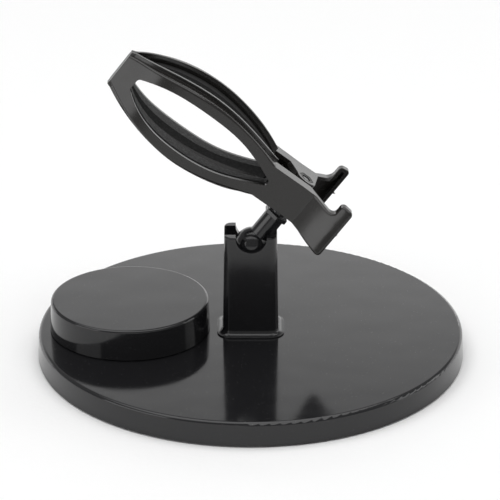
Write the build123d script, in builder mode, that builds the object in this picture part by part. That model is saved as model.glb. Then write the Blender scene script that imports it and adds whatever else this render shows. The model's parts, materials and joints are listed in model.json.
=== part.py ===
from build123d import *
from math import cos, radians, sin
import os

# Display stand: a weighted round base carries a small turntable platter and a post.
# The post's split top grips a ball stud, and the stud's pin carries a two-jawed clamp.
# Origin: centre of the base on the table. +Z up, -Y towards the viewer, -X towards the platter.

# ---- driving dimensions (mm, degrees) ----
base_radius = 100.0
base_top = 12.0
skirt_bottom = 0.8
skirt_draft = 3.0
base_wall = 2.5
base_edge_round = 1.6
running_gap = 0.08
moving_gap = 0.4

cover_radius = 96.0
cover_bottom = 1.2
cover_top = 3.2
cover_screw_count = 6
cover_screw_circle = 88.0
foot_radius = 8.0
foot_top = 1.7
foot_circle = 74.0
ballast_radius = 81.0
ballast_top = 5.4
rib_radii = [31.0, 78.0]
rib_width = 2.0

platter_x = -56.6
platter_top_radius = 36.9
platter_top = 27.0
platter_bottom = 12.5
platter_draft = 2.4
platter_wall = 2.2

race_inner = 20.5
race_outer = 27.5
race_height = 1.6
ball_circle = 24.0
bearing_ball_radius = 1.9
groove_radius = 2.05
groove_height = 15.0
bearing_ball_count = 12
upper_race_bottom = 16.4

spindle_radius = 3.0
spindle_boss_bottom = 7.6
spindle_washer_thickness = 0.9
spindle_head_height = 1.9
spindle_shoulder_top = 17.0

post_width = 26.1
post_depth = 21.0
post_corner = 4.5
post_top = 61.5
post_draft = 0.93
post_foot_flare = 2.6
post_wall = 2.6
post_screw_x = 6.6

ball_radius = 7.8
ball_x = 0.5
ball_height = 54.9
socket_radius = ball_radius + running_gap
channel_half_width = 5.4
channel_floor = 54.0
notch_radius = 7.2
notch_centre_height = 61.3

stud_lean = 37.5
neck_radius = 4.9
collar_across = 10.8
collar_start = 17.6
collar_thickness = 2.0
spacer_radius = 4.0
pin_radius = 2.0
hinge_distance = 32.85
jaw_datum = 0.65

jaw_tip = 100.0
jaw_tip_half_width = 7.8
leaf_half_width = 16.9
leaf_widest = 56.0
waist = 17.0
waist_half_width = 8.6
lever_end = -21.6
lever_start = -6.0
lever_lobe_half_width = 15.9
lever_lobe_width = 6.0
lever_low_half_width = 10.6
jaw_skin = 2.0
ear_radius = 5.2
ear_thickness = 2.6
ear_gap = 0.2
eye_tip = 91.5
eye_half_width = 11.6
eye_root = 15.6
flange_thickness = 1.6
flange_width = 1.5
face_round = 1.1
lever_dip_round = 3.0
lever_corner_round = 2.0
liner_root = 14.0
fit_gap = 0.1
eye_lip = 0.3
groove_width = 0.9
groove_depth = 1.0
nut_across = 6.8
nut_thickness = 1.6
bush_radius = 2.9
spring_radius = 3.7
spring_wire_radius = 0.5
coil_pitch = 1.15
leg_angle = 20.0
leg_length = 15.0

# ---- places worked out from the dimensions ----
lean = radians(stud_lean)
ball_centre = Vector(ball_x, 0, ball_height)
pin_direction = Vector(sin(lean), 0, cos(lean))
jaw_direction = Vector(-cos(lean), 0, sin(lean))
hinge_centre = ball_centre + pin_direction * hinge_distance
jaw_origin = hinge_centre + jaw_direction * jaw_datum
# jaw outlines: x towards the jaw tips, y up the pin, normal to the rear
outline_plane = Plane(origin=jaw_origin, x_dir=jaw_direction, z_dir=(0, 1, 0))
# jaw profiles: x towards the jaw tips, y to the rear, normal down the pin
profile_plane = Plane(origin=jaw_origin, x_dir=jaw_direction, z_dir=-pin_direction)
# sections of the pin hardware, in the same directions but centred on the pin
pin_plane = Plane(origin=hinge_centre, x_dir=jaw_direction, z_dir=-pin_direction)
stud_plane = Plane(origin=ball_centre, x_dir=jaw_direction, z_dir=pin_direction)

os.makedirs("parts", exist_ok=True)


def save(part, name):
    part.label = name
    export_step(part, f"parts/{name}.step")


# ---- base ----
skirt_top_radius = base_radius - (base_top - skirt_bottom) * sin(radians(skirt_draft))

with BuildPart() as base_disc:
    with BuildSketch(Plane.XY.offset(skirt_bottom)):
        Circle(base_radius)
    extrude(amount=base_top - skirt_bottom, taper=skirt_draft)
    fillet(base_disc.edges().group_by(Axis.Z)[-1], base_edge_round)
    with BuildSketch(Plane.XY.offset(skirt_bottom)):
        Circle(base_radius - base_wall)
    extrude(amount=base_top - skirt_bottom - base_wall, taper=skirt_draft, mode=Mode.SUBTRACT)
    # clamping ribs over the ballast, bosses for the cover screws, boss for the spindle
    with BuildSketch(Plane.XY.offset(ballast_top)):
        for rib_radius in rib_radii:
            Circle(rib_radius)
            Circle(rib_radius - rib_width, mode=Mode.SUBTRACT)
    extrude(amount=base_top - base_wall - ballast_top)
    with BuildSketch(Plane.XY.offset(cover_top)):
        with PolarLocations(cover_screw_circle, cover_screw_count, start_angle=30):
            Circle(4.0)
    extrude(amount=base_top - base_wall - cover_top)
    with BuildSketch(Plane.XY.offset(spindle_boss_bottom)):
        with Locations((platter_x, 0)):
            Circle(9.0)
    extrude(amount=base_top - base_wall - spindle_boss_bottom)
    with BuildSketch(Plane.XY.offset(skirt_bottom)):
        with Locations((platter_x, 0)):
            Circle(spindle_radius + running_gap)
    extrude(amount=base_top, mode=Mode.SUBTRACT)
    with BuildSketch(Plane.XY.offset(cover_top)):
        with PolarLocations(cover_screw_circle, cover_screw_count, start_angle=30):
            Circle(1.25)
    extrude(amount=6.0, mode=Mode.SUBTRACT)
    with BuildSketch(Plane.XY.offset(skirt_bottom)):
        with Locations((post_screw_x, 0), (-post_screw_x, 0)):
            Circle(1.7)
    extrude(amount=base_top, mode=Mode.SUBTRACT)
save(base_disc.part, "base_disc")

with BuildPart() as base_cover:
    with BuildSketch(Plane.XY.offset(cover_bottom)):
        Circle(cover_radius)
    extrude(amount=cover_top - cover_bottom)
    with BuildSketch(Plane.XY.offset(cover_bottom)):
        with PolarLocations(foot_circle, 4, start_angle=45):
            Circle(foot_radius + 0.1)
    extrude(amount=foot_top - cover_bottom, mode=Mode.SUBTRACT)
    with Locations(Plane((0, 0, cover_bottom), z_dir=(0, 0, -1))):
        with PolarLocations(cover_screw_circle, cover_screw_count, start_angle=30):
            CounterBoreHole(radius=1.7, counter_bore_radius=3.2, counter_bore_depth=1.0)
save(base_cover.part, "base_cover")

with BuildPart() as rubber_feet:
    with BuildSketch():
        with PolarLocations(foot_circle, 4, start_angle=45):
            Circle(foot_radius)
    extrude(amount=foot_top)
    chamfer(rubber_feet.faces().group_by(Axis.Z)[0].edges(), 0.4)
save(rubber_feet.part, "rubber_feet")

with BuildPart() as cover_screws:
    with BuildSketch(Plane.XY.offset(cover_bottom + 0.1)):
        with PolarLocations(cover_screw_circle, cover_screw_count, start_angle=30):
            Circle(2.9)
    extrude(amount=0.9)
    with BuildSketch(Plane.XY.offset(cover_bottom + 1.0)):
        with PolarLocations(cover_screw_circle, cover_screw_count, start_angle=30):
            Circle(1.25)
    extrude(amount=6.5)
save(cover_screws.part, "cover_screws")

with BuildPart() as ballast_plate:
    with BuildSketch(Plane.XY.offset(cover_top)):
        Circle(ballast_radius)
        Circle(rib_radii[0] - rib_width - 2.0, mode=Mode.SUBTRACT)
        with Locations((platter_x, 0)):
            Circle(14.0, mode=Mode.SUBTRACT)
    extrude(amount=ballast_top - cover_top)
save(ballast_plate.part, "ballast_plate")

# ---- post with the split ball socket ----
with BuildPart() as socket_post:
    with BuildSketch(Plane.XY.offset(base_top)):
        RectangleRounded(post_width, post_depth, post_corner)
    extrude(amount=post_top - base_top, taper=post_draft)
    fillet(socket_post.faces().sort_by(Axis.Z)[-1].edges(), 0.7)
    with BuildSketch(Plane.XY.offset(base_top)):
        RectangleRounded(
            post_width + 2 * post_foot_flare, post_depth + 2 * post_foot_flare, post_corner + post_foot_flare
        )
    extrude(amount=0.6)
    fillet(
        socket_post.edges().filter_by_position(Axis.Z, base_top + 0.59, base_top + 0.61)
        .filter_by(lambda edge: abs(edge.center().Y) < post_depth / 2 + 0.2)
        .filter_by(lambda edge: abs(edge.center().X) < post_width / 2 + 0.2),
        post_foot_flare - 0.2,
    )
    # hollow core with two screw bosses
    with BuildSketch(Plane.XY.offset(base_top)):
        RectangleRounded(post_width - 2 * post_wall, post_depth - 2 * post_wall, post_corner - 2.0)
        with Locations((post_screw_x, 0), (-post_screw_x, 0)):
            Circle(3.4, mode=Mode.SUBTRACT)
    extrude(amount=ball_height - socket_radius - post_wall - base_top, taper=post_draft, mode=Mode.SUBTRACT)
    with BuildSketch(Plane.XY.offset(base_top)):
        with Locations((post_screw_x, 0), (-post_screw_x, 0)):
            Circle(1.3)
    extrude(amount=16, mode=Mode.SUBTRACT)
    # channel along X, round notches front and rear, ball pocket
    with BuildSketch(Plane.YZ.offset(-post_width)):
        with Locations((0, (channel_floor + post_top) / 2 + 2)):
            Rectangle(2 * channel_half_width, post_top - channel_floor + 4)
    extrude(amount=2 * post_width, mode=Mode.SUBTRACT)
    with BuildSketch(Plane.XZ.offset(-post_depth)):
        with Locations((ball_x / 2, notch_centre_height)):
            Circle(notch_radius)
    extrude(amount=2 * post_depth, mode=Mode.SUBTRACT)
    with Locations(ball_centre):
        Sphere(socket_radius, mode=Mode.SUBTRACT)
save(socket_post.part, "socket_post")

with BuildPart() as post_screws:
    with BuildSketch(Plane.XY.offset(base_top - base_wall - 1.8)):
        with Locations((post_screw_x, 0), (-post_screw_x, 0)):
            Circle(3.0)
    extrude(amount=1.8)
    with BuildSketch(Plane.XY.offset(base_top - base_wall)):
        with Locations((post_screw_x, 0), (-post_screw_x, 0)):
            Circle(1.3)
    extrude(amount=14)
save(post_screws.part, "post_screws")

# ---- platter on its thrust bearing ----
bearing_plane = Plane((platter_x, 0, 0))


def bearing_race(bottom, name):
    """A flat ring with a ball groove that faces the ball plane."""
    with BuildPart() as race:
        with BuildSketch(bearing_plane.offset(bottom)):
            Circle(race_outer)
            Circle(race_inner, mode=Mode.SUBTRACT)
        extrude(amount=race_height)
        with Locations(bearing_plane.offset(groove_height)):
            Torus(ball_circle, groove_radius, mode=Mode.SUBTRACT)
    save(race.part, name)


bearing_race(base_top, "lower_race")
bearing_race(upper_race_bottom, "upper_race")

with BuildPart() as bearing_balls:
    with Locations(bearing_plane.offset(groove_height)):
        with PolarLocations(ball_circle, bearing_ball_count):
            Sphere(bearing_ball_radius)
save(bearing_balls.part, "bearing_balls")

with BuildPart() as bearing_cage:
    with BuildSketch(bearing_plane.offset(groove_height - 0.6)):
        Circle(race_outer - 0.7)
        Circle(race_inner + 0.7, mode=Mode.SUBTRACT)
        with PolarLocations(ball_circle, bearing_ball_count):
            Circle(groove_radius, mode=Mode.SUBTRACT)
    extrude(amount=1.2)
save(bearing_cage.part, "bearing_cage")

platter_height = platter_top - platter_bottom
platter_foot_radius = platter_top_radius + platter_height * sin(radians(platter_draft))
upper_race_top = upper_race_bottom + race_height

with BuildPart() as platter:
    with BuildSketch(bearing_plane.offset(platter_bottom)):
        Circle(platter_foot_radius)
    extrude(amount=platter_height, taper=platter_draft)
    fillet(platter.faces().sort_by(Axis.Z)[-1].edges(), 1.2)
    with BuildSketch(bearing_plane.offset(platter_bottom)):
        Circle(platter_foot_radius - platter_wall)
    extrude(amount=platter_height - platter_wall, taper=platter_draft, mode=Mode.SUBTRACT)
    # ring that bears on the upper race, and the hub that takes the spindle screw
    with BuildSketch(bearing_plane.offset(upper_race_top)):
        Circle(race_outer - 1.0)
        Circle(race_outer - 3.0, mode=Mode.SUBTRACT)
        Circle(race_inner + 2.5)
        Circle(race_inner + 0.5, mode=Mode.SUBTRACT)
    extrude(amount=platter_top - platter_wall - upper_race_top)
    with BuildSketch(bearing_plane.offset(spindle_shoulder_top)):
        Circle(6.0)
        Circle(2.0, mode=Mode.SUBTRACT)
    extrude(amount=platter_top - platter_wall - spindle_shoulder_top)
save(platter.part, "platter")

spindle_head_top = spindle_boss_bottom - moving_gap - spindle_washer_thickness

with BuildPart() as spindle_screw:
    with BuildSketch(bearing_plane.offset(spindle_head_top - spindle_head_height)):
        Circle(5.5)
        RegularPolygon(2.0, 6, major_radius=False, mode=Mode.SUBTRACT)
    extrude(amount=spindle_head_height)
    with BuildSketch(bearing_plane.offset(spindle_head_top)):
        Circle(spindle_radius)
    extrude(amount=spindle_shoulder_top - spindle_head_top)
    with BuildSketch(bearing_plane.offset(spindle_shoulder_top)):
        Circle(2.0)
    extrude(amount=6.5)
save(spindle_screw.part, "spindle_screw")

with BuildPart() as spindle_washer:
    with BuildSketch(bearing_plane.offset(spindle_head_top)):
        Circle(7.5)
        Circle(spindle_radius, mode=Mode.SUBTRACT)
    extrude(amount=spindle_washer_thickness)
save(spindle_washer.part, "spindle_washer")

# ---- ball stud: ball, neck, hex collar and clamp pin ----
collar_end = collar_start + collar_thickness
ear_face = hinge_distance - waist_half_width
pin_end = hinge_distance + waist_half_width - 0.4

with BuildPart() as ball_stud:
    with Locations(stud_plane):
        Sphere(ball_radius)
    with BuildSketch(stud_plane):
        Circle(neck_radius)
    extrude(amount=collar_start)
    with BuildSketch(stud_plane.offset(collar_start)):
        RegularPolygon(collar_across / 2, 6, major_radius=False, rotation=30)
    extrude(amount=collar_thickness)
    with BuildSketch(stud_plane.offset(collar_end)):
        Circle(spacer_radius)
    extrude(amount=ear_face - 1.0 - collar_end)
    with BuildSketch(stud_plane.offset(ear_face - 1.0)):
        Circle(pin_radius)
    extrude(amount=pin_end - ear_face + 1.0)
    chamfer(ball_stud.edges().sort_by(Axis(ball_centre, pin_direction))[-1], 0.4)
save(ball_stud.part, "ball_stud")

with BuildPart() as stud_washer:
    with BuildSketch(stud_plane.offset(ear_face - 1.0)):
        Circle(4.6)
        Circle(pin_radius, mode=Mode.SUBTRACT)
    extrude(amount=0.7)
save(stud_washer.part, "stud_washer")


# ---- clamp jaws ----
def jaw_outline(margin):
    """The jaw seen along its thickness, drawn inside its edge by a margin: leaf, waist, lever with upper lobe."""
    tip = jaw_tip - max(margin, 0)
    end = lever_end + margin
    waist_edge = waist_half_width - margin
    low_edge = lever_low_half_width - margin
    lobe_start = lever_end + lever_lobe_width - margin
    lobe_edge = lever_lobe_half_width - margin
    with BuildSketch() as outline:
        with BuildLine():
            Line((tip, margin - jaw_tip_half_width), (tip, jaw_tip_half_width - margin))
            for side in (1, -1):
                Spline(
                    (tip, side * (jaw_tip_half_width - margin)),
                    (80, side * (14.0 - margin)),
                    (leaf_widest, side * (leaf_half_width - margin)),
                    (36, side * (14.4 - margin)),
                    (waist, side * waist_edge),
                )
            Polyline(
                (waist, waist_edge), (lobe_start, waist_edge), (lobe_start, lobe_edge), (end, lobe_edge),
                (end, -low_edge), (-6, -waist_edge), (waist, -waist_edge),
            )
        make_face()
        dip = outline.vertices().filter_by_position(Axis.X, lobe_start - 0.1, lobe_start + 0.1).sort_by(Axis.Y)[0]
        fillet(dip, lever_dip_round)
        upper_corners = outline.vertices().filter_by_position(Axis.Y, lobe_edge - 0.1, lobe_edge + 0.1)
        lower_corner = outline.vertices().filter_by_position(Axis.Y, -low_edge - 0.1, 0.1 - low_edge)
        end_corners = (upper_corners + lower_corner).filter_by_position(Axis.X, end - 0.1, lobe_start + 0.1)
        fillet(end_corners, max(lever_corner_round - margin, 0.5))
    return outline.sketch


def eye_outline(grow):
    """The eye-shaped hole through the leaf, with its edge moved outwards."""
    with BuildSketch() as eye:
        with BuildLine():
            edge = Spline(
                (eye_tip + grow, 3.2), (80, 8.9 + grow), (58, eye_half_width + grow), (36, 9.2 + grow),
                (26, 5.8 + grow), (eye_root - grow, 1.2),
            )
            Line((eye_tip + grow, 0), edge @ 0)
            Line(edge @ 1, (eye_root - grow, 0))
            mirror(about=Plane.XZ)
        make_face()
        fillet(eye.vertices().group_by(Axis.X)[-1], 2.6)
        fillet(eye.vertices().group_by(Axis.X)[0], 1.0)
    return eye.sketch


def face_line(drop):
    """Outer face of a jaw from the tip to the lever end, lowered by a drop, as a wire seen along the pin."""
    leaf = Spline(
        (jaw_tip + 2, 1.3 - drop), (jaw_tip, 2.4 - drop), (88, 11.6 - drop), (72, 17.2 - drop),
        (58, 18.2 - drop), (36, 16.3 - drop), (waist, 14.4 - drop),
    )
    band = Polyline(leaf @ 1, (1, 13.7 - drop), (-5, 14.2 - drop))
    lever = Spline(band @ 1, (-12, 22.2 - drop), (-16, 25.6 - drop), (lever_end - 2, 28.6 - drop))
    return leaf, band, lever


def mouth_line(start, lift):
    """Inner rim of the leaf from a start point to the tip, raised by a lift."""
    mouth = Spline(
        start, (26, 9.8 + lift), (40, 11.2 + lift), (60, 10.9 + lift), (80, 8.4 + lift), (90, 5.2 + lift),
        (97, 0.9 + lift),
    )
    close = Polyline(mouth @ 1, (98, 0.25 + lift), (jaw_tip + 2, 0.25 + lift))
    return mouth, close


def rim_line():
    """Inner rim of a jaw's plastic, from the lever end to the tip, as a wire seen along the pin."""
    lever = Polyline((lever_end - 2, 24.8), (-16, 21.4), (-9, 13.6), (-3, 7.0), (waist, 6.8))
    return lever, mouth_line(lever @ 1, 0)


def grip_line():
    """Gripping face of a liner, from the lever side to the tip, as a wire seen along the pin."""
    return Spline((liner_root - 2, 6.2), (26, 6.6), (40, 6.6), (60, 5.9), (80, 4.5), (90, 2.8), (96, 1.2))


def side_profile(drop, inner):
    """Region under the face line, down to the rim, to the liner's grip face, or past the jaw's inside."""
    with BuildSketch() as profile:
        with BuildLine():
            face = face_line(drop)
            if inner == "rim":
                lever, mouth = rim_line()
                Line(face[2] @ 1, lever @ 0)
                Line(mouth[1] @ 1, face[0] @ 0)
            elif inner == "grip":
                grip = grip_line()
                Polyline(face[2] @ 1, (lever_end - 2, 6.2), grip @ 0)
                Polyline(grip @ 1, (jaw_tip + 2, -1.5), face[0] @ 0)
            else:
                Polyline(face[2] @ 1, (lever_end - 2, -12), (jaw_tip + 2, -12), face[0] @ 0)
        make_face()
    return profile.sketch


def flange_profile():
    """Band along the rim of the leaf that thins out towards the waist."""
    with BuildSketch() as profile:
        with BuildLine():
            low = mouth_line((waist, 6.8), 0)
            high = mouth_line((waist, 7.3), flange_thickness)
            Line(low[0] @ 0, high[0] @ 0)
            Line(low[1] @ 1, high[1] @ 1)
        make_face()
    return profile.sketch


def swept_outline(outline, profile):
    """Solid between an outline and a side profile."""
    with BuildPart() as blank:
        with BuildSketch(outline_plane.offset(-12)):
            add(outline)
        extrude(amount=45)
        with BuildSketch(profile_plane):
            add(profile)
        extrude(amount=30, both=True, mode=Mode.INTERSECT)
    return blank.part


jaw_inside = swept_outline(jaw_outline(jaw_skin), side_profile(jaw_skin, "open"))
inner_ear_face = waist_half_width - ear_thickness - ear_gap



def border_edges(part, low, high):
    """Edges where a jaw's outer face meets its sides, with their middles between two places along the jaw."""
    edges = part.faces().filter_by(lambda face: face.normal_at().Y > 0.3).edges()
    borders = [edge for edge in edges if sum(edge.is_same(other) for other in edges) == 1]
    return [edge for edge in borders if low < (edge.center() - jaw_origin).dot(jaw_direction) < high]


with BuildPart() as jaw_shell:
    add(swept_outline(jaw_outline(0), side_profile(0, "rim")))
    fillet(border_edges(jaw_shell, lever_end - 1, lever_start), face_round)
    fillet(border_edges(jaw_shell, waist + 1, jaw_tip - 1), face_round)
    add(swept_outline(jaw_outline(-flange_width), flange_profile()))


def ear(outer_face):
    """A pin ear that hangs from the jaw's face, between an outer face and one thickness inside it."""
    direction = 1 if outer_face > 0 else -1
    with BuildPart() as lug:
        with BuildSketch(pin_plane.offset(-outer_face)):
            Circle(ear_radius)
            with BuildLine():
                Polyline((-ear_radius, 0), (-7, 12), (12, 12), (ear_radius, 0), close=True)
            make_face()
        extrude(amount=direction * ear_thickness)
    return lug.part


def clamp_jaw(upper_ear, lower_ear, nut_pocket):
    """A jaw on the rear side, with its upper and lower ears at the given outer faces."""
    with BuildPart() as jaw:
        add(jaw_shell.part)
        add(jaw_inside, mode=Mode.SUBTRACT)
        add(ear(upper_ear))
        add(ear(-lower_ear))
        with BuildSketch(pin_plane.offset(-20)):
            Circle(pin_radius + running_gap)
        extrude(amount=40, mode=Mode.SUBTRACT)
        if nut_pocket:
            with BuildSketch(pin_plane.offset(-upper_ear)):
                RegularPolygon(nut_across / 2 + 0.1, 6, major_radius=False)
            extrude(amount=nut_thickness + 0.2, mode=Mode.SUBTRACT)
        with BuildSketch(outline_plane.offset(-12)):
            add(eye_outline(0))
        extrude(amount=45, mode=Mode.SUBTRACT)
    return jaw.part


rear_jaw = clamp_jaw(waist_half_width, inner_ear_face, True)
save(rear_jaw, "rear_jaw")
front_jaw = clamp_jaw(inner_ear_face, waist_half_width, False).mirror(Plane.XZ)
save(front_jaw, "front_jaw")

# ---- liners that fill the leaves, with a groove under the edge of the eye ----
with BuildPart() as rear_pad:
    add(swept_outline(jaw_outline(jaw_skin + fit_gap), side_profile(jaw_skin + fit_gap, "grip")))
    with BuildSketch(outline_plane.offset(-12)):
        add(eye_outline(-eye_lip))
    extrude(amount=45, mode=Mode.SUBTRACT)
    add(
        swept_outline(eye_outline(groove_width), side_profile(0, "open"))
        - swept_outline(eye_outline(groove_width), side_profile(jaw_skin + fit_gap + groove_depth, "open")),
        mode=Mode.SUBTRACT,
    )
    split(bisect_by=Plane(hinge_centre + jaw_direction * liner_root, z_dir=jaw_direction), keep=Keep.TOP)
    split(bisect_by=Plane(hinge_centre + jaw_direction * (eye_tip + 3), z_dir=-jaw_direction), keep=Keep.TOP)
save(rear_pad.part, "rear_pad")

with BuildPart() as front_pad:
    add(rear_pad.part.mirror(Plane.XZ))
save(front_pad.part, "front_pad")

# ---- hinge hardware on the pin ----
spring_half_length = inner_ear_face - ear_thickness - 0.4

with BuildPart() as pivot_bush:
    with BuildSketch(pin_plane):
        Circle(bush_radius)
        Circle(pin_radius + running_gap, mode=Mode.SUBTRACT)
    extrude(amount=spring_half_length, both=True)
save(pivot_bush.part, "pivot_bush")

with BuildPart() as pivot_nut:
    with BuildSketch(pin_plane.offset(-waist_half_width + 0.1)):
        RegularPolygon(nut_across / 2, 6, major_radius=False)
        Circle(pin_radius + running_gap, mode=Mode.SUBTRACT)
    extrude(amount=nut_thickness)
save(pivot_nut.part, "pivot_nut")

coil_turns = 3.5 - leg_angle / 180
coil_start = hinge_centre - pin_direction * (coil_turns * coil_pitch / 2)
start_direction = jaw_direction * sin(radians(leg_angle)) + Vector(0, cos(radians(leg_angle)), 0)

# made upright at the origin, then stood on the pin
with BuildPart() as torsion_spring:
    with BuildLine():
        coil = Helix(pitch=coil_pitch, height=coil_turns * coil_pitch, radius=spring_radius)
    with BuildSketch(Plane(origin=coil @ 0, z_dir=coil % 0)):
        Circle(spring_wire_radius)
    sweep(path=coil, is_frenet=True)
    # a straight leg runs on from each end of the coil, back between the levers
    for leg_plane in (Plane(origin=coil @ 0, z_dir=-(coil % 0)), Plane(origin=coil @ 1, z_dir=coil % 1)):
        with BuildSketch(leg_plane):
            Circle(spring_wire_radius)
        extrude(amount=leg_length)
spring_place = Location(Plane(origin=coil_start, x_dir=start_direction, z_dir=pin_direction))
save(torsion_spring.part.moved(spring_place), "torsion_spring")
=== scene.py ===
import json
import math

import bpy
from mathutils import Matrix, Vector


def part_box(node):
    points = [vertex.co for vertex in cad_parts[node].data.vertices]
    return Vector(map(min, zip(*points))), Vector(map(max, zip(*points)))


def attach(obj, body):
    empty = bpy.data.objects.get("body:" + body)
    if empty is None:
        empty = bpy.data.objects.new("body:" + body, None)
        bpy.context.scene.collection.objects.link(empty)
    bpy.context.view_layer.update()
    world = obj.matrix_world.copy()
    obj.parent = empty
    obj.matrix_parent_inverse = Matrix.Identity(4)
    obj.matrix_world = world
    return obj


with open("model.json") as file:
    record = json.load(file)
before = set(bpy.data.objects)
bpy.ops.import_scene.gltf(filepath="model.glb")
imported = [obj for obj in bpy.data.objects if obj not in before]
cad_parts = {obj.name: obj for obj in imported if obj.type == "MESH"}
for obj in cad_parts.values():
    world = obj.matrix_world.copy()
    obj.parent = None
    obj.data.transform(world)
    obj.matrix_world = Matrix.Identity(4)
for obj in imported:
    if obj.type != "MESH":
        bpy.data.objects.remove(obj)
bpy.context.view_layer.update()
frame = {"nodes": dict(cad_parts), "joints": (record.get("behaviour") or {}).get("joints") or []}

MM = 0.001

# ---- looks: colours are linear RGB with alpha ----
BLACK_PLASTIC = (0.010, 0.010, 0.011, 1.0)
WARM_BLACK_PLASTIC = (0.013, 0.012, 0.011, 1.0)
LINER_BLACK = (0.011, 0.011, 0.011, 1.0)
FOOT_BLACK = (0.022, 0.022, 0.022, 1.0)
STEEL = (0.60, 0.60, 0.62, 1.0)
DULL_STEEL = (0.48, 0.48, 0.47, 1.0)
OXIDE_BLACK = (0.030, 0.030, 0.032, 1.0)
OXIDE_BROWN = (0.055, 0.053, 0.050, 1.0)
NYLON = (0.75, 0.73, 0.68, 1.0)
FLOOR_WHITE = (0.95, 0.95, 0.95, 1.0)
BACKDROP_GREY = (0.02, 0.02, 0.02, 1.0)
WHITE = (1, 1, 1, 1)
DUST = (0.16, 0.155, 0.15, 1.0)
PLASTIC_IOR = 1.5

# ---- camera, light and backdrop: metres and radians, with the lens and sensor in millimetres ----
CAMERA_DISTANCE = 1.400
CAMERA_TILT = math.radians(23.83)
CAMERA_AIM = Vector((-0.0003, 0.0, 0.05149))
CAMERA_LENS = 216.67
SENSOR_WIDTH = 36.0
WORLD_LIGHT = 0.35
FLOOR_SIZE = 6.0
BACKDROP_PLACE = 2.0
BACKDROP_HEIGHT = 2.5
BACKDROP_FADE_START = 0.78
BACKDROP_FADE_END = 1.22
BACKDROP_LOW_GLOW = 1.40
BACKDROP_HIGH_GLOW = 0.30
LIGHT_AIM = Vector((0, 0, 0.04))

# ---- gate marks on the ends of the levers ----
LEVER_REACH = 0.0210
NIB_RINGS = 5
NIB_SIDES = 8
NIB_TIP = 0.05 * MM
NIB_SINK = 0.3 * MM
NIB_BEND = 0.25
NIB_WOBBLE = 0.25
NIB_FLATNESS = 0.6
NIB_TAPER = 0.7


# ---------------------------------------------------------------- material tools
class Recipe:
    """A material's node tree, with short ways to add the nodes that every finish here uses."""

    def __init__(self, name):
        self.material = bpy.data.materials.new(name)
        self.material.use_nodes = True
        self.tree = self.material.node_tree
        self.shader = self.tree.nodes["Principled BSDF"]
        self.place = self.tree.nodes.new("ShaderNodeTexCoord").outputs["Object"]

    def add(self, kind, **settings):
        node = self.tree.nodes.new(kind)
        for key, value in settings.items():
            setattr(node, key, value)
        return node

    def join(self, source, target):
        self.tree.links.new(source, target)

    def stretched(self, scale, turn=(0, 0, 0)):
        """Object coordinates, turned and then scaled per axis."""
        mapping = self.add("ShaderNodeMapping", vector_type="TEXTURE")
        mapping.inputs["Rotation"].default_value = turn
        mapping.inputs["Scale"].default_value = [1 / value for value in scale]
        self.join(self.place, mapping.inputs["Vector"])
        return mapping.outputs["Vector"]

    def noise(self, per_metre, detail=2.0, vector=None):
        node = self.add("ShaderNodeTexNoise")
        node.inputs["Scale"].default_value = per_metre
        node.inputs["Detail"].default_value = detail
        self.join(vector or self.place, node.inputs["Vector"])
        return node.outputs["Fac"]

    def ramp(self, value, low, high, start, end):
        """A value between low and high mapped to start..end, held at both ends."""
        node = self.add("ShaderNodeMapRange")
        node.inputs["From Min"].default_value = low
        node.inputs["From Max"].default_value = high
        node.inputs["To Min"].default_value = start
        node.inputs["To Max"].default_value = end
        self.join(value, node.inputs["Value"])
        return node.outputs["Result"]

    def math(self, operation, first, second):
        node = self.add("ShaderNodeMath", operation=operation)
        for socket, value in zip(node.inputs, (first, second)):
            if isinstance(value, (int, float)):
                socket.default_value = value
            else:
                self.join(value, socket)
        return node.outputs["Value"]

    def mix(self, amount, first, second):
        """A colour between two constant colours, by an amount."""
        node = self.add("ShaderNodeMix", data_type="RGBA")
        node.inputs[6].default_value = first
        node.inputs[7].default_value = second
        self.join(amount, node.inputs[0])
        return node.outputs[2]

    def bump(self, height, depth, normal=None):
        node = self.add("ShaderNodeBump")
        node.inputs["Strength"].default_value = 1.0
        node.inputs["Distance"].default_value = depth
        self.join(height, node.inputs["Height"])
        if normal is not None:
            self.join(normal, node.inputs["Normal"])
        return node.outputs["Normal"]

    def soft_edges(self, radius):
        node = self.add("ShaderNodeBevel")
        node.samples = 6
        node.inputs["Radius"].default_value = radius
        return node.outputs["Normal"]

    def specks(self, per_metre, share):
        """1 inside small scattered specks, 0 elsewhere."""
        cells = self.add("ShaderNodeTexVoronoi")
        cells.inputs["Scale"].default_value = per_metre
        self.join(self.place, cells.inputs["Vector"])
        return self.ramp(cells.outputs["Distance"], share, share * 1.5, 1.0, 0.0)


def moulded_plastic(name, color, roughness, wave_depth, grain_depth, edge, dust):
    """Glossy injection-moulded plastic: slow waviness, fine skin, faint rub marks and a few dust specks."""
    recipe = Recipe(name)
    shader = recipe.shader
    shader.inputs["IOR"].default_value = PLASTIC_IOR
    smudge = recipe.noise(55, detail=3)
    rubs = recipe.noise(1.0, detail=1, vector=recipe.stretched((60, 2600, 2600), turn=(0, 0, 0.5)))
    rub_marks = recipe.ramp(rubs, 0.66, 0.72, 0.0, 0.10)
    base_roughness = recipe.ramp(smudge, 0.3, 0.7, roughness * 0.8, roughness * 1.25)
    specks = recipe.specks(520, dust)
    worn = recipe.math("ADD", base_roughness, rub_marks)
    recipe.join(recipe.math("ADD", worn, recipe.math("MULTIPLY", specks, 0.4)), shader.inputs["Roughness"])
    recipe.join(recipe.mix(specks, color, DUST), shader.inputs["Base Color"])
    normal = recipe.soft_edges(edge) if edge else None
    normal = recipe.bump(recipe.noise(38, detail=1), wave_depth, normal)
    normal = recipe.bump(recipe.noise(2400, detail=2), grain_depth, normal)
    recipe.join(normal, shader.inputs["Normal"])
    return recipe.material


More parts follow.
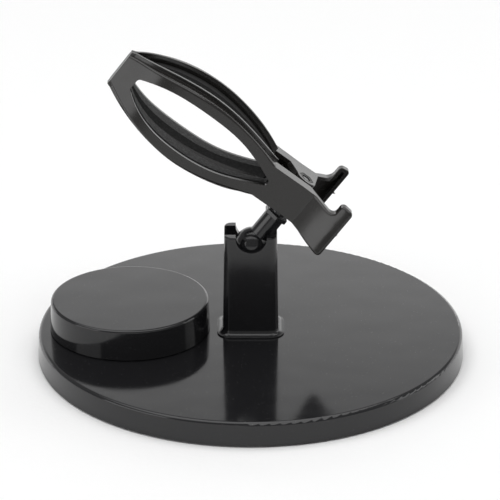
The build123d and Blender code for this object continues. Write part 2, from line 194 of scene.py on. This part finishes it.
def liner_rubber():
    """Matt dark gripping skin with a fine pimpled texture."""
    recipe = Recipe("liner_rubber")
    shader = recipe.shader
    shader.inputs["Base Color"].default_value = LINER_BLACK
    cells = recipe.add("ShaderNodeTexVoronoi")
    cells.inputs["Scale"].default_value = 900
    recipe.join(recipe.place, cells.inputs["Vector"])
    recipe.join(recipe.ramp(cells.outputs["Distance"], 0.0, 0.6, 0.55, 0.8), shader.inputs["Roughness"])
    normal = recipe.bump(recipe.math("SUBTRACT", 1.0, cells.outputs["Distance"]), 0.0002)
    recipe.join(recipe.bump(recipe.noise(3200), 0.00008, normal), shader.inputs["Normal"])
    return recipe.material


def foot_rubber():
    """Dark grey rubber with a fine grain."""
    recipe = Recipe("foot_rubber")
    recipe.shader.inputs["Base Color"].default_value = FOOT_BLACK
    recipe.join(recipe.ramp(recipe.noise(900), 0.3, 0.7, 0.65, 0.85), recipe.shader.inputs["Roughness"])
    recipe.join(recipe.bump(recipe.noise(2600), 0.00006), recipe.shader.inputs["Normal"])
    return recipe.material


def bright_steel():
    """Zinc-plated steel with fine turning marks and cloudy plating."""
    recipe = Recipe("bright_steel")
    shader = recipe.shader
    shader.inputs["Metallic"].default_value = 1.0
    clouds = recipe.noise(260, detail=4)
    recipe.join(recipe.mix(clouds, STEEL, DULL_STEEL), shader.inputs["Base Color"])
    recipe.join(recipe.ramp(clouds, 0.3, 0.7, 0.22, 0.4), shader.inputs["Roughness"])
    marks = recipe.noise(1.0, vector=recipe.stretched((300, 300, 9000)))
    recipe.join(recipe.bump(marks, 0.00002), shader.inputs["Normal"])
    return recipe.material


def blackened_steel():
    """Black-oxide steel with a dull, slightly mottled skin."""
    recipe = Recipe("blackened_steel")
    shader = recipe.shader
    shader.inputs["Metallic"].default_value = 1.0
    clouds = recipe.noise(500, detail=3)
    recipe.join(recipe.mix(clouds, OXIDE_BLACK, OXIDE_BROWN), shader.inputs["Base Color"])
    recipe.join(recipe.ramp(clouds, 0.3, 0.7, 0.35, 0.5), shader.inputs["Roughness"])
    recipe.join(recipe.bump(recipe.noise(3000), 0.00002), shader.inputs["Normal"])
    return recipe.material


def cage_nylon():
    """Natural nylon, slightly waxy."""
    recipe = Recipe("cage_nylon")
    shader = recipe.shader
    shader.inputs["Base Color"].default_value = NYLON
    shader.inputs["Subsurface Weight"].default_value = 0.1
    recipe.join(recipe.ramp(recipe.noise(400), 0.3, 0.7, 0.35, 0.5), shader.inputs["Roughness"])
    recipe.join(recipe.bump(recipe.noise(1800), 0.00003), shader.inputs["Normal"])
    return recipe.material


def dress(names, material):
    for name in names:
        slots = frame["nodes"][name].data.materials
        if not slots:
            slots.append(material)
        for index in range(len(slots)):
            frame["nodes"][name].material_slots[index].material = material


# ---------------------------------------------------------------- finishes
base_plastic = moulded_plastic(
    "base_plastic", BLACK_PLASTIC,
    roughness=0.10, wave_depth=0.00010, grain_depth=0.000002, edge=0, dust=0.045,
)
cover_plastic = moulded_plastic(
    "cover_plastic", BLACK_PLASTIC,
    roughness=0.35, wave_depth=0.00012, grain_depth=0.00001, edge=0.0003, dust=0.03,
)
post_plastic = moulded_plastic(
    "post_plastic", BLACK_PLASTIC,
    roughness=0.16, wave_depth=0.0001, grain_depth=0.000003, edge=0.0004, dust=0.03,
)
clamp_plastic = moulded_plastic(
    "clamp_plastic", WARM_BLACK_PLASTIC,
    roughness=0.20, wave_depth=0.00012, grain_depth=0.000004, edge=0.0003, dust=0.03,
)
dress(["base_disc", "platter"], base_plastic)
dress(["base_cover"], cover_plastic)
dress(["socket_post", "ball_stud"], post_plastic)
dress(["front_jaw", "rear_jaw"], clamp_plastic)
dress(["front_pad", "rear_pad"], liner_rubber())
dress(["rubber_feet"], foot_rubber())
dress(["bearing_cage"], cage_nylon())
dress(
    [
        "cover_screws", "post_screws", "ballast_plate", "lower_race", "upper_race", "bearing_balls",
        "spindle_screw", "spindle_washer", "pivot_bush", "torsion_spring",
    ],
    bright_steel(),
)
dress(["pivot_nut", "stud_washer"], blackened_steel())


# ---------------------------------------------------------------- moulding flash
LEAN = math.radians(37.5)
PIN_DIRECTION = Vector((math.sin(LEAN), 0, math.cos(LEAN)))
JAW_DIRECTION = Vector((-math.cos(LEAN), 0, math.sin(LEAN)))


def lever_point(name, along_pin, depth):
    """A point on the end of a jaw's lever, at a height along the pin and a depth from the clamp's middle."""
    hinge = next(joint for joint in frame["joints"] if joint["name"] == "jaw_open_front")
    low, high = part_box(name)
    side = 1 if high.y > -low.y else -1
    end = Vector(hinge["pos_m"]) - JAW_DIRECTION * LEVER_REACH + PIN_DIRECTION * along_pin
    return end + Vector((0, side * depth, 0))


def flash_nib(name, body, root, direction, length, radius):
    """A torn gate mark: a short bent spike with an uneven outline."""
    forward = direction.normalized()
    across = forward.orthogonal().normalized()
    up = forward.cross(across)
    points = []
    for ring in range(NIB_RINGS):
        share = ring / (NIB_RINGS - 1)
        reach = radius * (1 - share) ** NIB_TAPER + NIB_TIP
        centre = root + forward * (length * share - NIB_SINK) + up * (NIB_BEND * length * share * share)
        for side in range(NIB_SIDES):
            angle = 2 * math.pi * side / NIB_SIDES
            wobble = 1 + NIB_WOBBLE * math.sin(3 * angle + ring)
            spoke = across * math.cos(angle) + up * math.sin(angle) * NIB_FLATNESS
            points.append(centre + spoke * reach * wobble)
    tip_start = (NIB_RINGS - 1) * NIB_SIDES
    faces = [tuple(range(NIB_SIDES))[::-1], tuple(tip_start + side for side in range(NIB_SIDES))]
    for ring in range(NIB_RINGS - 1):
        for side in range(NIB_SIDES):
            after = (side + 1) % NIB_SIDES
            low, high = ring * NIB_SIDES, (ring + 1) * NIB_SIDES
            faces.append((low + side, low + after, high + after, high + side))
    mesh = bpy.data.meshes.new(name)
    mesh.from_pydata(points, [], faces)
    mesh.materials.append(clamp_plastic)
    nib = bpy.data.objects.new(name, mesh)
    bpy.context.scene.collection.objects.link(nib)
    for polygon in mesh.polygons:
        polygon.use_smooth = True
    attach(nib, body)


rear_root = lever_point("rear_jaw", 2.2 * MM, 25.6 * MM)
front_root = lever_point("front_jaw", 3.0 * MM, 26.6 * MM)
flash_nib("rear_lever_flash", "rear_clamp", rear_root, -JAW_DIRECTION, length=1.7 * MM, radius=0.7 * MM)
flash_nib("front_lever_flash", "front_clamp", front_root, -JAW_DIRECTION, length=0.6 * MM, radius=0.9 * MM)


# ---------------------------------------------------------------- floor, light, camera
def make_floor():
    mesh = bpy.data.meshes.new("floor")
    half = FLOOR_SIZE / 2
    corners = [(-half, -half, 0), (half, -half, 0), (half, half, 0), (-half, half, 0)]
    mesh.from_pydata(corners, [], [(0, 1, 2, 3)])
    floor = bpy.data.objects.new("floor", mesh)
    bpy.context.scene.collection.objects.link(floor)
    recipe = Recipe("floor_paper")
    recipe.shader.inputs["Base Color"].default_value = FLOOR_WHITE
    recipe.shader.inputs["Roughness"].default_value = 0.9
    recipe.join(recipe.bump(recipe.noise(300), 0.0001), recipe.shader.inputs["Normal"])
    floor.data.materials.append(recipe.material)


def soft_box(name, place, width, height, radiance):
    """A rectangular studio light that faces the object; its power follows from its radiance."""
    light = bpy.data.lights.new(name, "AREA")
    light.shape = "RECTANGLE"
    light.size = width
    light.size_y = height
    light.energy = radiance * math.pi * width * height
    lamp = bpy.data.objects.new(name, light)
    lamp.location = place
    aim = LIGHT_AIM - Vector(place)
    lamp.rotation_euler = aim.to_track_quat("-Z", "Y").to_euler()
    bpy.context.scene.collection.objects.link(lamp)


def make_backdrop():
    """A white wall behind the object, bright near the floor and dimmer higher up."""
    mesh = bpy.data.meshes.new("backdrop")
    half = FLOOR_SIZE / 2
    corners = [(-half, 0, 0), (half, 0, 0), (half, 0, BACKDROP_HEIGHT), (-half, 0, BACKDROP_HEIGHT)]
    mesh.from_pydata(corners, [], [(0, 1, 2, 3)])
    backdrop = bpy.data.objects.new("backdrop", mesh)
    backdrop.location = (0, BACKDROP_PLACE, 0)
    bpy.context.scene.collection.objects.link(backdrop)
    recipe = Recipe("backdrop_paper")
    split = recipe.add("ShaderNodeSeparateXYZ")
    recipe.join(recipe.place, split.inputs["Vector"])
    fade = (BACKDROP_FADE_START, BACKDROP_FADE_END, BACKDROP_LOW_GLOW, BACKDROP_HIGH_GLOW)
    glow = recipe.ramp(split.outputs["Z"], *fade)
    recipe.shader.inputs["Base Color"].default_value = BACKDROP_GREY
    recipe.shader.inputs["Emission Color"].default_value = WHITE
    recipe.join(glow, recipe.shader.inputs["Emission Strength"])
    backdrop.data.materials.append(recipe.material)


def make_world():
    world = bpy.data.worlds.new("studio")
    world.use_nodes = True
    background = world.node_tree.nodes["Background"]
    background.inputs["Color"].default_value = WHITE
    background.inputs["Strength"].default_value = WORLD_LIGHT
    bpy.context.scene.world = world


def make_camera():
    camera = bpy.data.objects.new("camera", bpy.data.cameras.new("camera"))
    camera.data.lens = CAMERA_LENS
    camera.data.sensor_width = SENSOR_WIDTH
    camera.data.clip_end = 20
    back = Vector((0, -math.cos(CAMERA_TILT), math.sin(CAMERA_TILT)))
    camera.location = CAMERA_AIM + back * CAMERA_DISTANCE
    camera.rotation_euler = (math.pi / 2 - CAMERA_TILT, 0, 0)
    bpy.context.scene.collection.objects.link(camera)
    bpy.context.scene.camera = camera


make_world()
make_floor()
make_backdrop()
soft_box("top_box", (0, -0.1, 1.7), width=2.6, height=2.0, radiance=1.75)
soft_box("left_box", (-1.8, -1.0, 0.55), width=1.4, height=0.8, radiance=2.0)
soft_box("right_box", (2.0, 0.5, 0.6), width=1.2, height=0.6, radiance=1.6)
make_camera()
bpy.context.scene.view_settings.view_transform = "Standard"
